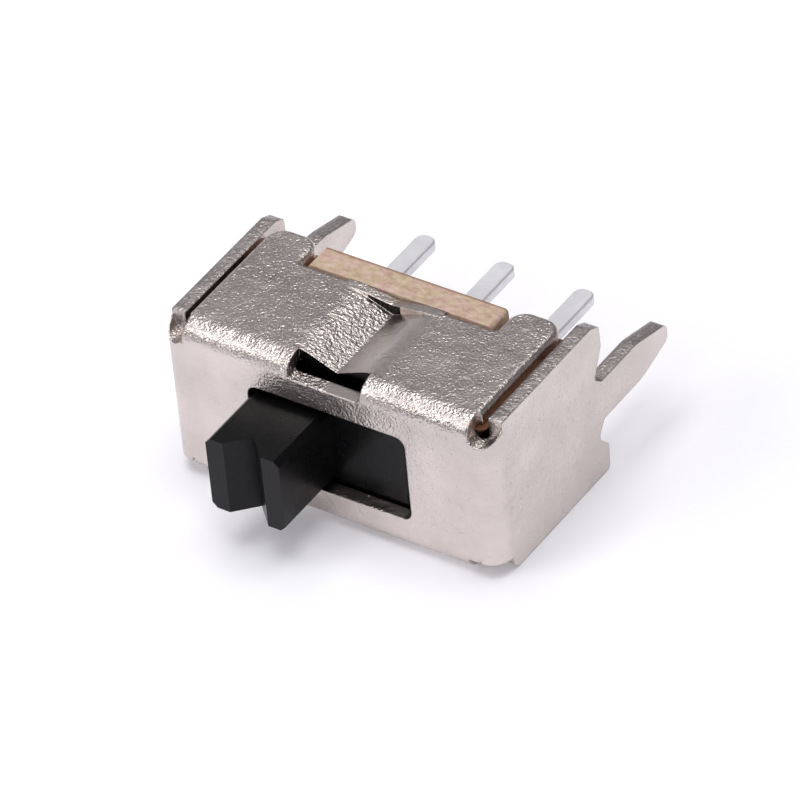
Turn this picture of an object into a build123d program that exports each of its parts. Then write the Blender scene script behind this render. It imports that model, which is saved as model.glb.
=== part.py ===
from build123d import *
import os

# Miniature slide switch with three straight terminals, lying on its long side.
# X runs along the slot, the knob points to -Y, the terminals point to +Y and +Z is up. The origin
# is the middle of the lower flap's outer face, which the switch lies on. Sizes are in millimetres.

os.makedirs("parts", exist_ok=True)

# Shell: one blank of nickel-plated steel sheet, folded into a front plate, two flaps and two end plates
shell_length = 8.6  # over the end plates
shell_height = 4.3  # over the flaps
shell_depth = 3.1  # front face to the rear edge of the flaps
sheet = 0.35
fold = 0.5  # outer radius of every fold
relief_width = 0.6  # round-bottomed notch at each upper corner, where three walls of the blank meet
relief_reach = 0.6  # depth of that notch from the flap's outer face
foot_width = 0.85  # square notch at each lower corner
foot_reach = 0.4
relief_depth = 0.55  # all four notches, behind the front face
fold_clear = 0.3  # end of the folds to the end plates, from the flap's outer face

# End plates, with an ear above and below the board leg
plate_inset = 0.13  # upper edge of an end plate, below the upper flap's face
plate_rise = 0.03  # lower edge of an end plate, above the surface it lies on
plate_cover = 0.32  # waist of an end plate, behind the board
ear_reach = 0.36  # ears, behind the waist
ear_slant = 0.03  # lean of an ear's rear edge
upper_ear = 0.7  # heights of the ears at the rear
lower_ear = 0.66
ear_bevel = 0.15  # cut off the upper ear's corner
foot_bevel = 0.2  # cut off the lower front corner
leg_reach = 2.95  # board leg, behind the waist
leg_width = 1.05
leg_axis = 1.99  # height of the leg's centre line
leg_tip = 0.42  # blunt end of the leg
leg_upper_taper = 1.25  # from the leg's full width to its end, along the leg
leg_lower_taper = 1.1
leg_root = 0.26  # from the waist to the leg's full width
root_above = 0.22  # spread of the root, above and below the leg
root_below = 0.4
root_round = 0.2  # corner radii of the outline
tip_round = 0.13
taper_round = 1.2

# Knob, travel and slot
axis_height = 2.08  # height of the centre line of slot, knob and terminals
travel = 2.1  # between the two switch positions
knob_width = 1.92
knob_height = 1.95
knob_reach = 1.75  # knob, before the front face
knob_land = 0.46  # flat on each side of the thumb groove
knob_chamfer = 0.13
knob_end_gap = 0.04  # knob to slot end, at each end of the travel
knob_side_gap = 0.19  # knob to each long edge of the slot
slot_corner = 0.25

# Detent: a V pressed into the upper flap, behind an open window in the fold
window_half = 0.95
window_reach = 0.58  # rear edge of the window, behind the front face
window_drop = 0.46  # lower edge of the window, below the flap's face
window_corner = 0.12
dent_half = 0.92  # crest to valley, along X
dent_depth = 0.38
dent_crest = 1.6  # rounding along each crest
dent_valley = 0.15
dent_lead = 0.34  # start of that rounding, outside the crest
dent_reach = 2.85  # torn rear shoulder of the V, behind the front face
heel_depth = 0.12  # how far the strip behind the V is pulled down
notch_floor_gap = 0.16  # slider below the tip of the V, in either position
notch_crest_gap = 0.04  # slider below the tip of the V, half way
notch_side_gap = 0.2  # notch, wider than the V on its outer side

# Base board, held between the ears of the flaps
board_thickness = 0.7
board_gap = 0.02  # board to every face that holds it
ear_width = 1.25  # along X, at each end of a flap's rear edge
tongue_gap = 0.15  # from an ear to the board's tongue, which fills the notch between the ears
tongue_inset = 0.03  # end of the tongue, inside the outer face of the flap
board_corner = 0.1
notch_corner = 0.08
ear_corner = 0.45
ear_edge = 0.15
lip_thickness = 0.13  # staked lip behind the board
lip_drop = 0.16

# Terminals: straight flat blades through the board
terminal_pitch = 2.1
terminal_width = 0.5
terminal_thickness = 0.28
terminal_reach = 3.5  # behind the board
terminal_fit = 0.02
terminal_edge = 0.04
terminal_round = 0.22  # corners of the tip
blade_width = 0.8  # inner contact blade, with its shoulders on the board
blade_reach = 1.1  # before the board
blade_corner = 0.12

# Slider moulding, and the contact clip inside it
slider_gap = 0.06  # to the front plate, the flaps and the board
slider_end_gap = 0.1  # to each end plate, at the end of the travel
slider_edge = 0.08
channel_half = 0.34  # clear height for the blades, above and below their centre line
channel_gap = 0.08  # floor of the channel, before the tips of the blades
clip_sheet = 0.14
clip_length = 2.62
clip_belly = 0.44  # inside of the clip, above and below the blades
clip_web = 0.3  # inside of the clip's web, before the tips of the blades
clip_play = 0.03  # clip in its pocket
clip_bend = 0.14  # radius of the clip's bends, in the middle of its sheet
jaw_gap = 0.02  # each jaw to the blade it wipes
jaw_reach = 0.55  # contact line of the jaws, behind the tips of the blades
jaw_flare = 0.38  # end of the jaws, above and below the centre line
jaw_end_gap = 0.14  # end of the jaws, before the board

# Places that follow from the sizes
front = -shell_depth / 2
rear = shell_depth / 2
plate_outer = shell_length / 2
plate_inner = plate_outer - sheet
plate_top = shell_height - plate_inset
flap_half = plate_outer - fold
flap_inner = shell_height - sheet
inner_front = front + sheet
board_front = rear + board_gap
board_rear = board_front + board_thickness
lip_front = board_rear + board_gap
ear_end = lip_front + lip_thickness
waist = board_rear + plate_cover
notch_half = flap_half - ear_width
tongue_half = notch_half - tongue_gap
slot_length = knob_width + travel + 2 * knob_end_gap
slot_height = knob_height + 2 * knob_side_gap
dent_tip = flap_inner - dent_depth
slider_x = -travel / 2
slider_length = 2 * (plate_inner - slider_end_gap) - travel
slider_top = flap_inner - slider_gap
slider_bottom = sheet + slider_gap
slider_front = inner_front + slider_gap
slider_rear = board_front - slider_gap
blade_tip = board_front - blade_reach
web_middle = blade_tip - clip_web - clip_sheet / 2
web_outer = web_middle - clip_sheet / 2
jaw_line = blade_tip + jaw_reach
jaw_end = board_front - jaw_end_gap
beyond = 1.0  # how far a cut runs past what it opens


def closed_outline(corners):
    """Face inside the corners, each given as two coordinates and the radius it is rounded to."""
    with BuildSketch() as outline:
        with BuildLine():
            FilletPolyline(*[(u, v) for u, v, r in corners], radius=[r for u, v, r in corners], close=True)
        make_face()
    return outline.sketch


def folded_section():
    """Section of the front plate and both flaps, folded to a U that is open to the rear."""
    with BuildSketch() as inside:
        with Locations(((inner_front + ear_end) / 2, shell_height / 2)):
            Rectangle(ear_end - inner_front, shell_height - 2 * sheet)
        fillet(inside.vertices().group_by(Axis.X)[0], fold - sheet)
    with BuildSketch() as section:
        with Locations(((front + ear_end) / 2, shell_height / 2)):
            Rectangle(ear_end - front, shell_height)
        fillet(section.vertices().group_by(Axis.X)[0], fold)
        add(inside.sketch, mode=Mode.SUBTRACT)
    return section.sketch


def end_plate_outline():
    """Outline of an end plate, from its fold round the ears and the board leg."""
    ear_y = waist + ear_reach
    leg_y = waist + leg_reach
    leg_top = leg_axis + leg_width / 2
    leg_bottom = leg_axis - leg_width / 2
    corners = [
        # along Y, height, corner radius
        (front + fold, plate_rise + foot_bevel, 0),
        (front + fold + foot_bevel, plate_rise, tip_round),
        (ear_y - ear_slant, plate_rise, tip_round),
        (ear_y, plate_rise + lower_ear, root_round),
        (waist, leg_bottom - root_below, root_round),
        (waist + leg_root, leg_bottom, tip_round),
        (leg_y - leg_lower_taper, leg_bottom, taper_round),
        (leg_y, leg_axis - leg_tip / 2, root_round),
        (leg_y, leg_axis + leg_tip / 2, root_round),
        (leg_y - leg_upper_taper, leg_top, taper_round),
        (waist + leg_root, leg_top, root_round),
        (waist, leg_top + root_above, tip_round),
        (ear_y, plate_top - upper_ear, root_round),
        (ear_y - ear_slant, plate_top - ear_bevel, tip_round / 2),
        (waist, plate_top, root_round),
        (front + fold, plate_top, 0),
    ]
    return closed_outline(corners)


def pressed_section(depth):
    """Section of the upper flap where it is pressed down to a V, with a rounded run-out on each side."""
    upper = [
        # along X, below the flap's face, corner radius on the face
        (-dent_half - dent_lead, 0, 0),
        (-dent_half, 0, dent_crest),
        (0, -depth, dent_valley),
        (dent_half, 0, dent_crest),
        (dent_half + dent_lead, 0, 0),
    ]
    corners = upper + [(x, z - sheet, r) for x, z, r in reversed(upper)]
    return closed_outline(corners)


def terminal_outline():
    """Outline of a terminal seen from above, centred on X."""
    half = [
        # along X, along Y, corner radius
        (blade_width / 2, blade_tip, blade_corner),
        (blade_width / 2, board_front, 0),
        (terminal_width / 2, board_front, 0),
        (terminal_width / 2, board_rear + terminal_reach, terminal_round),
    ]
    return closed_outline(half + [(-x, y, r) for x, y, r in reversed(half)])


with BuildPart() as shell:
    # Front plate with the two flaps, which reach over the board as ears
    with BuildSketch(Plane.YZ.offset(-flap_half)):
        add(folded_section())
    extrude(amount=2 * flap_half)

    # Notch between the ears of each flap, then the rounded corners and rear edges of the ears
    with BuildSketch():
        with Locations((0, rear + ear_end)):
            Rectangle(2 * notch_half, 2 * ear_end)
        fillet(vertices().group_by(Axis.Y)[0], notch_corner)
    extrude(amount=shell_height, mode=Mode.SUBTRACT)
    fillet(shell.edges().filter_by(Axis.Z).group_by(Axis.Y)[-1], ear_corner)
    ear_edges = shell.edges().filter_by(Axis.X).filter_by_position(Axis.Y, ear_end - board_gap, ear_end)
    fillet(ear_edges.group_by(Axis.Z)[0] + ear_edges.group_by(Axis.Z)[-1], ear_edge)

    # Lips staked over the rear of the board, one under each ear
    with BuildSketch(Plane.XZ.offset(-ear_end)):
        with Locations(*[(x * (notch_half + flap_half) / 2, z) for x in (-1, 1) for z in (sheet, flap_inner)]):
            Rectangle(flap_half - notch_half - 2 * ear_corner, 2 * lip_drop)
    extrude(amount=lip_thickness)

    # Front plate, flat and square up to the folds
    with BuildSketch(Plane.XY.offset(fold)):
        with Locations((0, front + sheet / 2)):
            Rectangle(2 * flap_half, sheet)
    extrude(amount=shell_height - 2 * fold)

    # Folds from the front plate to the end plates
    with BuildSketch(Plane.XY.offset(fold_clear)):
        for side in (-1, 1):
            with Locations((side * flap_half, front + fold)):
                Circle(fold)
                Circle(fold - sheet, mode=Mode.SUBTRACT)
        with Locations((0, front + fold)):
            Rectangle(2 * flap_half, 2 * fold, mode=Mode.SUBTRACT)
        with Locations((0, front + 1.5 * fold)):
            Rectangle(shell_length, fold, mode=Mode.SUBTRACT)
    extrude(amount=shell_height - 2 * fold_clear)

    # End plates with their ears and board legs
    with BuildSketch(Plane.YZ.offset(plate_inner)) as right_plate:
        add(end_plate_outline())
    extrude(amount=sheet)
    mirror(extrude(right_plate.sketch, amount=sheet, mode=Mode.PRIVATE), about=Plane.YZ)

    # Notches at the corners of the front plate: round-bottomed above, square below
    with BuildSketch(Plane.XZ.offset(-front - relief_depth)):
        for side in (-1, 1):
            with Locations((side * (plate_outer - relief_width / 2), shell_height)):
                SlotOverall(2 * relief_reach, relief_width, rotation=90)
            with Locations((side * (plate_outer - foot_width / 2), 0)):
                Rectangle(foot_width, 2 * foot_reach)
    extrude(amount=relief_depth + beyond, mode=Mode.SUBTRACT)

    # Slot for the knob
    with BuildSketch(Plane.XZ.offset(-inner_front)):
        with Locations((0, axis_height)):
            RectangleRounded(slot_length, slot_height, slot_corner)
    extrude(amount=sheet, mode=Mode.SUBTRACT)

    # Window across the upper fold
    with BuildSketch(Plane.XZ.offset(-front - window_reach)):
        with Locations((0, shell_height)):
            RectangleRounded(2 * window_half, 2 * window_drop, window_corner)
    extrude(amount=window_reach, mode=Mode.SUBTRACT)

    # Detent: the flat flap gives way to the pressed V, and behind its torn shoulder to a shallow heel
    dent_width = 2 * (dent_half + dent_lead)
    with BuildSketch(Plane.XY.offset(flap_inner)):
        with Locations((0, (front + window_reach + rear) / 2)):
            Rectangle(dent_width, rear - front - window_reach)
    extrude(amount=sheet, mode=Mode.SUBTRACT)
    with BuildSketch(Plane.XZ.offset(-front - dent_reach)):
        with Locations((0, shell_height)):
            add(pressed_section(dent_depth))
    extrude(amount=dent_reach - window_reach)
    with BuildSketch(Plane.XZ.offset(-rear)):
        with Locations((0, shell_height)):
            add(pressed_section(heel_depth))
    extrude(amount=rear - front - dent_reach)

shell.part.label = "shell"
export_step(shell.part, "parts/shell.step")

with BuildPart() as base_board:
    # Panel under the ears, with a tongue up and down through the notches of the flaps
    panel_half = plate_inner - board_gap
    with BuildSketch(Plane.XZ.offset(-board_rear)):
        with Locations((0, shell_height / 2)):
            Rectangle(2 * panel_half, shell_height - 2 * (sheet + board_gap))
            Rectangle(2 * tongue_half, shell_height - 2 * tongue_inset)
        fillet(vertices().group_by(Axis.X)[0] + vertices().group_by(Axis.X)[-1], board_corner)
        tongue_ends = vertices().group_by(Axis.Y)
        fillet(tongue_ends[0] + tongue_ends[-1], board_corner)
        with Locations(*[(n * terminal_pitch, axis_height) for n in (-1, 0, 1)]):
            Rectangle(
                terminal_width + 2 * terminal_fit,
                terminal_thickness + 2 * terminal_fit,
                mode=Mode.SUBTRACT,
            )
    extrude(amount=board_thickness)

base_board.part.label = "base_board"
export_step(base_board.part, "parts/base_board.step")

for number in (1, 2, 3):
    with BuildPart() as terminal:
        # Contact blade inside, shoulders on the board, round-ended pin outside
        with BuildSketch(Plane.XY.offset(axis_height - terminal_thickness / 2)):
            with Locations(((number - 2) * terminal_pitch, 0)):
                add(terminal_outline())
        extrude(amount=terminal_thickness)
        rims = terminal.faces().filter_by(Axis.Z).edges()
        chamfer(rims.filter_by_position(Axis.Y, board_rear, board_rear + terminal_reach), terminal_edge)
    terminal.part.label = f"terminal_{number}"
    export_step(terminal.part, f"parts/terminal_{number}.step")

with BuildPart() as slider:
    # Block between the front plate and the board, guided by both flaps
    slider_depth = slider_rear - slider_front
    with BuildSketch(Plane.XY.offset(slider_bottom)):
        with Locations((slider_x, (slider_front + slider_rear) / 2)):
            RectangleRounded(slider_length, slider_depth, slider_edge)
    extrude(amount=slider_top - slider_bottom)

    # Two shallow notches for the dent, one for each switch position
    notch_end = travel / 2 + dent_half + notch_side_gap
    with BuildSketch(Plane.XZ.offset(-slider_rear)):
        with BuildLine():
            Polyline(
                (slider_x - notch_end, slider_top),
                (slider_x - travel / 2, dent_tip - notch_floor_gap),
                (slider_x, dent_tip - notch_crest_gap),
                (slider_x + travel / 2, dent_tip - notch_floor_gap),
                (slider_x + notch_end, slider_top),
                close=True,
            )
        make_face()
    extrude(amount=slider_depth, mode=Mode.SUBTRACT)

    # Knob through the slot, with chamfered long edges and a thumb groove down its front
    knob_front = front - knob_reach
    with BuildSketch(Plane.XZ.offset(-slider_front)):
        with Locations((slider_x, axis_height)):
            Rectangle(knob_width, knob_height)
        chamfer(vertices(), knob_chamfer)
    extrude(amount=slider_front - knob_front)
    groove_half = knob_width / 2 - knob_land
    with BuildSketch(Plane.XY.offset(axis_height - knob_height / 2)):
        with BuildLine():
            Polyline(
                (slider_x - groove_half, knob_front),
                (slider_x, knob_front + groove_half),
                (slider_x + groove_half, knob_front),
                close=True,
            )
        make_face()
    extrude(amount=knob_height, mode=Mode.SUBTRACT)

    # Channel for the blades along the rear, and the deeper pocket of the clip
    channel_floor = blade_tip - channel_gap
    pocket_floor = web_outer - clip_play
    pocket_half = clip_belly + clip_sheet + clip_play
    with BuildSketch(Plane.XZ.offset(-slider_rear)):
        with Locations((slider_x, axis_height)):
            Rectangle(slider_length, 2 * channel_half)
    extrude(amount=slider_rear - channel_floor, mode=Mode.SUBTRACT)
    with BuildSketch(Plane.XZ.offset(-slider_rear)):
        with Locations((slider_x, axis_height)):
            Rectangle(clip_length + 2 * clip_play, 2 * pocket_half)
    extrude(amount=slider_rear - pocket_floor, mode=Mode.SUBTRACT)

slider.part.label = "slider"
export_step(slider.part, "parts/slider.step")

with BuildPart() as contact_clip:
    # Bent strip with two jaws that wipe the blades from above and below
    jaw_height = terminal_thickness / 2 + jaw_gap + clip_sheet / 2
    belly_height = clip_belly + clip_sheet / 2
    upper_half = [
        (jaw_end, axis_height + jaw_flare),
        (jaw_line, axis_height + jaw_height),
        (blade_tip, axis_height + belly_height),
        (web_middle, axis_height + belly_height),
    ]
    lower_half = [(y, 2 * axis_height - z) for y, z in reversed(upper_half)]
    with BuildSketch(Plane.YZ.offset(slider_x - clip_length / 2)):
        with BuildLine():
            FilletPolyline(*upper_half, *lower_half, radius=clip_bend)
        trace(line_width=clip_sheet)
    extrude(amount=clip_length)

contact_clip.part.label = "contact_clip"
export_step(contact_clip.part, "parts/contact_clip.step")
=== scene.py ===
import math

import bpy
from mathutils import Matrix, Vector


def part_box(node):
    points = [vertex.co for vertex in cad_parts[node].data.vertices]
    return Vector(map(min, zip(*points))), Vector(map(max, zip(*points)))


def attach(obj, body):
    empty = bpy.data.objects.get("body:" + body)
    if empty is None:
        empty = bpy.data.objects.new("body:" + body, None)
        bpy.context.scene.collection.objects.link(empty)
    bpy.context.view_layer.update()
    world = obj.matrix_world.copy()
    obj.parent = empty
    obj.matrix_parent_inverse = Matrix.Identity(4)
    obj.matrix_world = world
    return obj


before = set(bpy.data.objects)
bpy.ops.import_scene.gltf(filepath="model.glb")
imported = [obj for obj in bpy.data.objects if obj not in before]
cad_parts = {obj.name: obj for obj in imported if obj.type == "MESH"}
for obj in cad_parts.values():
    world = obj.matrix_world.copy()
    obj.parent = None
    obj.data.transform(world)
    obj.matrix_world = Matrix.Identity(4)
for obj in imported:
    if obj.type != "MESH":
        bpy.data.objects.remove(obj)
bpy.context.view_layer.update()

MM = 0.001

# Places on the shell, in metres from the middle of its underside
SHEET = 0.35 * MM
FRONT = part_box("shell")[0][1]
PLATE_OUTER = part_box("shell")[1][0]
FLAP_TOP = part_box("shell")[1][2]
EDGE_START = FRONT + 0.52 * MM  # just before the rear wall of the corner reliefs
WINDOW_REAR = FRONT + 0.58 * MM  # rear edge of the window in the upper fold
BOARD_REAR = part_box("base_board")[1][1]

# V pressed into the upper flap behind the window
DENT_HALF = 1.0 * MM  # from the valley to about the middle of a rounded crest
DENT_REAR = FRONT + 2.85 * MM
DENT_REACH_DOWN = 0.5 * MM  # its walls lie within this depth
VALLEY_HALF = 0.08 * MM
TEAR_MIDDLE = -0.22 * MM  # along X, of the tear in its rear shoulder
TEAR_HALF = 0.42 * MM

# Sockets of a map range, by number
VALUE, FROM_LOW, FROM_HIGH, TO_LOW, TO_HIGH = range(5)


def linear(code):
    """Linear colour of an sRGB hex value."""
    channels = [int(code[i : i + 2], 16) / 255 for i in (1, 3, 5)]
    return [c / 12.92 if c <= 0.04045 else ((c + 0.055) / 1.055) ** 2.4 for c in channels] + [1.0]


def add(tree, kind, feeds=None, stops=(), **settings):
    """Adds one node with its settings. Each socket is fed by a node, a node's output or a plain value."""
    made = tree.nodes.new("ShaderNode" + kind)
    for name, value in settings.items():
        setattr(made, name, value)
    for socket, source in (feeds or {}).items():
        if isinstance(source, bpy.types.Node):
            source = source.outputs[0]
        if isinstance(source, bpy.types.NodeSocket):
            tree.links.new(source, made.inputs[socket])
        else:
            made.inputs[socket].default_value = source
    for index, (position, code) in enumerate(stops):
        elements = made.color_ramp.elements
        stop = elements[index] if index < len(elements) else elements.new(position)
        stop.position = position
        stop.color = linear(code)
    return made


def start(name):
    """A material, its tree, and the socket for the place on the object."""
    material = bpy.data.materials.new(name)
    material.use_nodes = True
    tree = material.node_tree
    tree.nodes.clear()
    return material, tree, add(tree, "TexCoord").outputs["Object"]


def end(tree, feeds):
    """Closes a material with its shader."""
    shader = add(tree, "BsdfPrincipled", feeds)
    add(tree, "OutputMaterial", {0: shader})


def product(tree, first, *others):
    """Product of masks and strengths."""
    for other in others:
        first = add(tree, "Math", {0: first, 1: other}, operation="MULTIPLY")
    return first


def sheared_edges(tree, at, way):
    """Mask of the end plates' edges: within a plate, from the corner reliefs back, not facing along X."""
    plate_inner = PLATE_OUTER - SHEET - 0.01 * MM
    side = add(tree, "Math", {0: at.outputs["X"]}, operation="ABSOLUTE")
    side_way = add(tree, "Math", {0: way.outputs["X"]}, operation="ABSOLUTE")
    in_plate = add(tree, "Math", {0: side, 1: plate_inner}, operation="GREATER_THAN")
    across = add(tree, "Math", {0: side_way, 1: 0.4}, operation="LESS_THAN")
    behind = add(tree, "Math", {0: at.outputs["Y"], 1: EDGE_START}, operation="GREATER_THAN")
    return product(tree, in_plate, across, behind)


def torn_ends_in_painted_shade(tree, at, way):
    """Mask of the V's torn ends, where shade is painted: its whole front end, and the open part of its rear
    shoulder.
    """
    window_inside = WINDOW_REAR - 0.05 * MM
    side = add(tree, "Math", {0: at.outputs["X"]}, operation="ABSOLUTE")
    near = add(tree, "Math", {0: side, 1: 1.1 * DENT_HALF}, operation="LESS_THAN")
    ahead = add(tree, "Math", {0: way.outputs["Y"], 1: -0.6}, operation="LESS_THAN")
    inside = add(tree, "Math", {0: at.outputs["Y"], 1: window_inside}, operation="GREATER_THAN")
    ends = product(tree, near, ahead, inside)
    to_rear = add(tree, "Math", {0: at.outputs["Y"], 1: 0.0}, operation="GREATER_THAN")
    off_tear = add(tree, "Math", {0: at.outputs["X"], 1: TEAR_MIDDLE}, operation="SUBTRACT")
    off_tear = add(tree, "Math", {0: off_tear}, operation="ABSOLUTE")
    beside_tear = add(tree, "Math", {0: off_tear, 1: TEAR_HALF}, operation="GREATER_THAN")
    closed = product(tree, to_rear, beside_tear)
    return add(tree, "Math", {0: ends, 1: closed}, operation="SUBTRACT", use_clamp=True)


def pressed_walls(tree, at):
    """Masks of the V's left wall and of its right one, which fade out at the crests, valley and tear."""
    across, along, up = (at.outputs[axis] for axis in "XYZ")
    over = add(tree, "Math", {0: up, 1: FLAP_TOP - DENT_REACH_DOWN}, operation="GREATER_THAN")
    flush = {FROM_LOW: FLAP_TOP - 0.02 * MM, FROM_HIGH: FLAP_TOP, TO_LOW: 1.0, TO_HIGH: 0.6}
    below = add(tree, "MapRange", {VALUE: up, **flush})
    tear = {FROM_LOW: DENT_REAR - 0.1 * MM, FROM_HIGH: DENT_REAR, TO_LOW: 1.0, TO_HIGH: 0.0}
    before_tear = add(tree, "MapRange", {VALUE: along, **tear})
    walls = []
    for hand in (-1, 1):
        crest = {FROM_LOW: 1.25 * hand * DENT_HALF, FROM_HIGH: 0.8 * hand * DENT_HALF}
        from_crest = add(tree, "MapRange", {VALUE: across, **crest})
        valley = {FROM_LOW: -hand * VALLEY_HALF, FROM_HIGH: hand * VALLEY_HALF}
        from_valley = add(tree, "MapRange", {VALUE: across, **valley})
        between = product(tree, from_crest, from_valley)
        walls.append(product(tree, over, below, before_tear, between))
    return walls


def nickel_plated_steel():
    """Cold-rolled steel strip, pierced and folded, then barrel-plated with dull nickel.

    Tumbling against other parts leaves a fine hammered grain. It sparkles where the face mirrors the edge of
    a light, and hardly shows where the face mirrors the paper. Sheared edges are rougher, and worn rounder.
    The press crinkled the left wall of the V and burnished the right one.
    """
    material, tree, place = start("nickel_plated_steel")
    at = add(tree, "SeparateXYZ", {0: place})
    way = add(tree, "SeparateXYZ", {0: add(tree, "NewGeometry").outputs["Normal"]})
    plate_edge = sheared_edges(tree, at, way)
    tear = torn_ends_in_painted_shade(tree, at, way)
    stretched, burnished = pressed_walls(tree, at)

    # Plate tone with faint handling smudges about 1.5 mm wide, mottled on sheared edges, painted shade in the
    # tears
    smudge = add(tree, "TexNoise", {"Vector": place, "Scale": 1 / (1.5 * MM), "Detail": 5.0})
    tone = add(tree, "ValToRGB", {0: smudge}, stops=[(0.35, "#CFC5C0"), (0.65, "#DED4CE")])
    shear = add(tree, "TexNoise", {"Vector": place, "Scale": 1 / (0.07 * MM), "Detail": 4.0})
    greys = [(0.32, "#B4ACA8"), (0.55, "#CDC4C0"), (0.7, "#E2D9D5")]
    shear_tone = add(tree, "ValToRGB", {0: shear}, stops=greys)
    with_edge = add(tree, "MixRGB", {0: plate_edge, 1: tone, 2: shear_tone})
    # The V's torn ends are painted near black: painted shade for the shadow they lie in
    colour = add(tree, "MixRGB", {0: tear, 1: with_edge, 2: linear("#1C1A1A")})

    # Roughness of dull nickel, and higher on sheared edges
    dull = add(tree, "TexNoise", {"Vector": place, "Scale": 1 / (0.6 * MM), "Detail": 2.0})
    rough = add(tree, "MapRange", {VALUE: dull, FROM_LOW: 0.3, FROM_HIGH: 0.7, TO_LOW: 0.26, TO_HIGH: 0.34})
    rough = add(tree, "Math", {0: plate_edge, 1: 0.07, 2: rough}, operation="MULTIPLY_ADD")

    # Tumbling grain: shallow dents 0.4 mm wide, dings of 0.1 mm in patches, and a fine matt between them
    wave = add(tree, "TexNoise", {"Vector": place, "Scale": 1 / (0.4 * MM), "Detail": 1.0})
    cells = add(tree, "TexVoronoi", {"Vector": place, "Scale": 1 / (0.11 * MM)})
    ding = add(tree, "MapRange", {VALUE: cells, FROM_LOW: 0.1, FROM_HIGH: 0.45})
    patchy = {FROM_LOW: 0.38, FROM_HIGH: 0.62, TO_LOW: 0.35, TO_HIGH: 1.0}
    patches = add(tree, "MapRange", {VALUE: wave, **patchy})
    ding = product(tree, ding, patches, 0.65)
    fine = add(tree, "TexNoise", {"Vector": place, "Scale": 1 / (0.06 * MM), "Detail": 2.0})
    dimple = add(tree, "Math", {0: fine, 1: 1.9, 2: ding}, operation="MULTIPLY_ADD")
    unburnished = add(tree, "MapRange", {VALUE: burnished, TO_LOW: 1.0, TO_HIGH: 0.3})

    # Crinkles in the stretched wall
    crinkled = {"Scale": 1 / (0.09 * MM), "Detail": 2.0, "Distortion": 0.4}
    crinkle = product(tree, add(tree, "TexNoise", {"Vector": place, **crinkled}), stretched)

    # Rims are worn round by 0.05 mm, and sheared edges by 0.15 mm
    worn = add(tree, "MapRange", {VALUE: plate_edge, TO_LOW: 0.05 * MM, TO_HIGH: 0.15 * MM})
    relief = add(tree, "Bevel", {"Radius": worn}, samples=6)
    for height, strength, depth in ((wave, 1.0, 0.01), (crinkle, 1.0, 0.038), (dimple, unburnished, 0.01)):
        bump = {"Height": height, "Strength": strength, "Distance": depth * MM, "Normal": relief}
        relief = add(tree, "Bump", bump)
    end(tree, {"Base Color": colour, "Metallic": 1.0, "Roughness": rough, "Normal": relief})
    return material


def phenolic_laminate():
    """Paper laminate bonded with phenolic resin, punched warm to shape.

    The cut ends of the tongues are a dry, fibrous tan with pinkish flecks. The rest keeps the brown of its
    resin; the sheet under the flap takes this brown as painted shade.
    """
    material, tree, place = start("phenolic_laminate")
    at = add(tree, "SeparateXYZ", {0: place})
    # Below the tongues' cut tops all is resin brown: the board's uncut faces, and the sheet of painted shade
    # under the flap
    from_middle = add(tree, "Math", {0: at.outputs["Z"], 1: FLAP_TOP / 2}, operation="SUBTRACT")
    from_middle = add(tree, "Math", {0: from_middle}, operation="ABSOLUTE")
    tongue_root = FLAP_TOP / 2 - 0.3 * MM
    uncut_and_shade_sheet = add(tree, "Math", {0: from_middle, 1: tongue_root}, operation="LESS_THAN")

    # Paper fibres lie along the board, so the pattern is drawn out along X
    lay = add(tree, "Mapping", {"Vector": place, "Scale": (0.6, 1.0, 1.0)})
    fibre = add(tree, "TexNoise", {"Vector": lay, "Scale": 1 / (0.12 * MM), "Detail": 4.0, "Roughness": 0.65})
    tans = [(0.32, "#B89F82"), (0.5, "#CDB599"), (0.68, "#D9C6AE")]
    pinks = [(0.32, "#BA9688"), (0.5, "#D2AFA1"), (0.68, "#DEC3B8")]
    tan = add(tree, "ValToRGB", {0: fibre}, stops=tans)
    pink = add(tree, "ValToRGB", {0: fibre}, stops=pinks)
    blotch = add(tree, "TexNoise", {"Vector": place, "Scale": 1 / (0.3 * MM), "Detail": 2.0})
    fleck = add(tree, "MapRange", {VALUE: blotch, FROM_LOW: 0.42, FROM_HIGH: 0.6, TO_LOW: 0.0, TO_HIGH: 0.85})
    cut = add(tree, "MixRGB", {0: fleck, 1: tan, 2: pink})
    # Resin brown, on the board and as painted shade on the sheet under the flap
    resin = add(tree, "ValToRGB", {0: fibre}, stops=[(0.35, "#5C3213"), (0.7, "#7A4A22")])
    colour = add(tree, "MixRGB", {0: uncut_and_shade_sheet, 1: cut, 2: resin})

    # Punching bruises the laminate along its rear rim
    bruise = {FROM_LOW: BOARD_REAR - 0.08 * MM, FROM_HIGH: BOARD_REAR - 0.02 * MM, TO_HIGH: 0.7}
    rear = add(tree, "MapRange", {VALUE: at.outputs["Y"], **bruise})
    colour = add(tree, "MixRGB", {0: rear, 1: colour, 2: linear("#7A4A22")})

    nap = add(tree, "Bump", {"Height": fibre, "Strength": 1.0, "Distance": 0.012 * MM})
    end(tree, {"Base Color": colour, "Roughness": 0.6, "IOR": 1.55, "Normal": nap})
    return material


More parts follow.
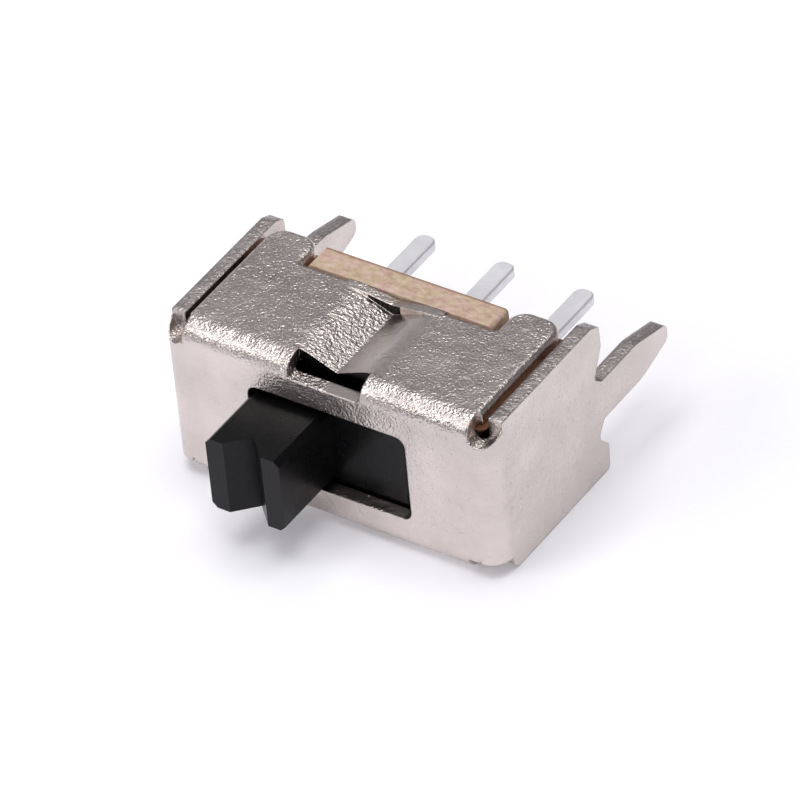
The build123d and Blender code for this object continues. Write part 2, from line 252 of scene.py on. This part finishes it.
def silver_plated_brass():
    """Brass strip, blanked and then plated with matt silver, which gives a soft white sheen."""
    material, tree, place = start("silver_plated_brass")
    cloud = add(tree, "TexNoise", {"Vector": place, "Scale": 1 / (0.8 * MM), "Detail": 2.0})
    tone = add(tree, "ValToRGB", {0: cloud}, stops=[(0.35, "#EDECEF"), (0.65, "#F7F6F8")])
    dull = add(tree, "TexNoise", {"Vector": place, "Scale": 1 / (0.25 * MM), "Detail": 2.0})
    rough = add(tree, "MapRange", {VALUE: dull, FROM_LOW: 0.3, FROM_HIGH: 0.7, TO_LOW: 0.6, TO_HIGH: 0.68})
    fine = add(tree, "TexNoise", {"Vector": place, "Scale": 1 / (0.07 * MM), "Detail": 2.0})
    grain = add(tree, "Bump", {"Height": fine, "Strength": 1.0, "Distance": 0.006 * MM})
    end(tree, {"Base Color": tone, "Metallic": 1.0, "Roughness": rough, "Normal": grain})
    return material


def black_nylon():
    """Black glass-filled nylon, moulded in a fine spark-eroded cavity, which leaves a satin, bluish skin."""
    material, tree, place = start("black_nylon")
    cloud = add(tree, "TexNoise", {"Vector": place, "Scale": 1 / (0.5 * MM), "Detail": 2.0})
    tone = add(tree, "ValToRGB", {0: cloud}, stops=[(0.3, "#0A0A0B"), (0.7, "#0E0E10")])
    dull = add(tree, "TexNoise", {"Vector": place, "Scale": 1 / (0.2 * MM), "Detail": 2.0})
    rough = add(tree, "MapRange", {VALUE: dull, FROM_LOW: 0.3, FROM_HIGH: 0.7, TO_LOW: 0.27, TO_HIGH: 0.36})
    # Spark erosion leaves pits of about 0.02 mm, drawn at 0.05 mm so that they show
    pits = add(tree, "TexNoise", {"Vector": place, "Scale": 1 / (0.05 * MM), "Detail": 2.0})
    skin = add(tree, "Bump", {"Height": pits, "Strength": 1.0, "Distance": 0.003 * MM})
    gloss = {"Roughness": rough, "IOR": 1.47, "Specular IOR Level": 0.25}
    end(tree, {"Base Color": tone, "Normal": skin, **gloss})
    return material


def phosphor_bronze():
    """Rolled spring strip, bare, with fine rolling lines along it and a warm shine."""
    material, tree, place = start("phosphor_bronze")
    lay = add(tree, "Mapping", {"Vector": place, "Scale": (1.0, 0.08, 1.0)})
    lines = add(tree, "TexNoise", {"Vector": lay, "Scale": 1 / (0.04 * MM), "Detail": 2.0})
    tone = add(tree, "ValToRGB", {0: lines}, stops=[(0.3, "#B98A5C"), (0.7, "#CFA173")])
    rolled = add(tree, "Bump", {"Height": lines, "Strength": 1.0, "Distance": 0.002 * MM})
    end(tree, {"Base Color": tone, "Metallic": 1.0, "Roughness": 0.3, "Normal": rolled})
    return material


def white_paper():
    """Uncoated white paper, matt all over. It is lit a little from below, as on a light table."""
    material, tree, _ = start("white_paper")
    white = linear("#F6F5FA")
    end(tree, {"Base Color": white, "Roughness": 0.9, "Emission Color": white, "Emission Strength": 0.22})
    return material


def dress(name, material):
    """Gives a piece of the frame its finish."""
    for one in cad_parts[name].material_slots:
        one.material = material


laminate = phenolic_laminate()
terminal_finish = silver_plated_brass()
dress("shell", nickel_plated_steel())
dress("base_board", laminate)
for number in (1, 2, 3):
    dress(f"terminal_{number}", terminal_finish)
dress("slider", black_nylon())
dress("contact_clip", phosphor_bronze())

# Brown sheet under the upper flap, painted shade: it stands in for the board seen in shade deep inside,
# through the slit beside the flap and through its corner relief
SHADE_SHEET_THICKNESS = 0.03 * MM
SHADE_SHEET_GAP = 0.02 * MM  # to the flap, the end plate and the front plate
SHADE_SHEET_WIDTH = 0.9 * MM
SHADE_SHEET_CORNER = 0.12 * MM
SHADE_SHEET_TOP = FLAP_TOP - SHEET - SHADE_SHEET_GAP
SHADE_SHEET_OUTER = PLATE_OUTER - SHEET - SHADE_SHEET_GAP
SHADE_SHEET_INNER = SHADE_SHEET_OUTER - SHADE_SHEET_WIDTH
SHADE_SHEET_FRONT = FRONT + SHEET + SHADE_SHEET_GAP
SHADE_SHEET_REAR = BOARD_REAR - 0.75 * MM


def shade_sheet_strip(name):
    """A strip of brown sheet with cut corners, painted shade: its outline in plan, drawn to its thickness."""
    plan = []
    for x, y, across, along in (
        (SHADE_SHEET_OUTER, SHADE_SHEET_FRONT, -1, 1),
        (SHADE_SHEET_OUTER, SHADE_SHEET_REAR, -1, -1),
        (SHADE_SHEET_INNER, SHADE_SHEET_REAR, 1, -1),
        (SHADE_SHEET_INNER, SHADE_SHEET_FRONT, 1, 1),
    ):
        ends = [(x + across * SHADE_SHEET_CORNER, y), (x, y + along * SHADE_SHEET_CORNER)]
        plan += ends if across * along < 0 else ends[::-1]
    count = len(plan)
    points = [(x, y, z) for z in (SHADE_SHEET_TOP - SHADE_SHEET_THICKNESS, SHADE_SHEET_TOP) for x, y in plan]
    walls = [(i, (i + 1) % count, count + (i + 1) % count, count + i) for i in range(count)]
    faces = [tuple(reversed(range(count))), tuple(range(count, 2 * count))] + walls
    mesh = bpy.data.meshes.new(name)
    mesh.from_pydata(points, [], faces)
    mesh.materials.append(laminate)
    piece = bpy.data.objects.new(name, mesh)
    bpy.context.collection.objects.link(piece)
    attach(piece, "housing")


shade_sheet_strip("shade_sheet_right")

# Floor
PAPER_SIZE = 1.2
bpy.ops.mesh.primitive_plane_add(size=PAPER_SIZE, location=(0, 0, 0))
paper = bpy.context.object
paper.name = "paper_floor"
paper.data.materials.append(white_paper())


def way_to(azimuth, elevation):
    """Unit vector at an azimuth (0 before the knob, 90 to its right) and an elevation, in degrees."""
    a, e = math.radians(azimuth), math.radians(elevation)
    return Vector((math.sin(a) * math.cos(e), -math.cos(a) * math.cos(e), math.sin(e)))


# Camera: a long lens from the right front, rolled a little
CAMERA_TARGET = Vector((0.338, 0.764, 2.021)) * MM
CAMERA_AZIMUTH = 36.687
CAMERA_ELEVATION = 39.291
CAMERA_ROLL = math.radians(5.926)
CAMERA_DISTANCE = 200.2 * MM
SENSOR_WIDTH = 36.0  # in millimetres, as the lens is
FOCAL_PIXELS = 9110
PICTURE_PIXELS = 800

camera_data = bpy.data.cameras.new("camera")
camera_data.sensor_width = SENSOR_WIDTH
camera_data.lens = SENSOR_WIDTH * FOCAL_PIXELS / PICTURE_PIXELS
camera_data.clip_start = 10 * MM
camera_data.clip_end = 5.0
camera = bpy.data.objects.new("camera", camera_data)
camera_way = way_to(CAMERA_AZIMUTH, CAMERA_ELEVATION)
turn = camera_way.to_track_quat("Z", "Y").to_matrix().to_4x4() @ Matrix.Rotation(-CAMERA_ROLL, 4, "Z")
camera.matrix_world = Matrix.Translation(CAMERA_TARGET + CAMERA_DISTANCE * camera_way) @ turn
bpy.context.collection.objects.link(camera)
bpy.context.scene.camera = camera

BOX_DISTANCE = 0.3


def softbox(name, azimuth, elevation, size, brightness):
    """A square soft light that faces the switch. A brightness of 1 would show as full white."""
    way = way_to(azimuth, elevation)
    data = bpy.data.lights.new(name, "AREA")
    data.shape = "SQUARE"
    data.size = size
    data.energy = brightness * math.pi * size**2
    light = bpy.data.objects.new(name, data)
    facing = way.to_track_quat("Z", "Y").to_matrix().to_4x4()
    light.matrix_world = Matrix.Translation(way * BOX_DISTANCE) @ facing
    bpy.context.collection.objects.link(light)


# Lights: the flap mirrors the far left panel, the V's left wall the back box and its right wall the left back
# box, and the upper bend mirrors the front left box. The overhead box lights the paper.
softbox("overhead_box", 0, 89, 0.24, 3.7)
softbox("back_box", 172, 52, 0.12, 0.75)
softbox("left_back_box", -129, 8, 0.14, 0.56)
softbox("far_left_panel", -143, 39, 0.13, 0.22)
softbox("front_left_box", -38, 36, 0.14, 3.3)

world = bpy.data.worlds.new("studio")
world.use_nodes = True
background = world.node_tree.nodes["Background"]
background.inputs["Color"].default_value = linear("#F6F5FF")
background.inputs["Strength"].default_value = 0.14
bpy.context.scene.world = world
bpy.context.scene.view_settings.view_transform = "Standard"
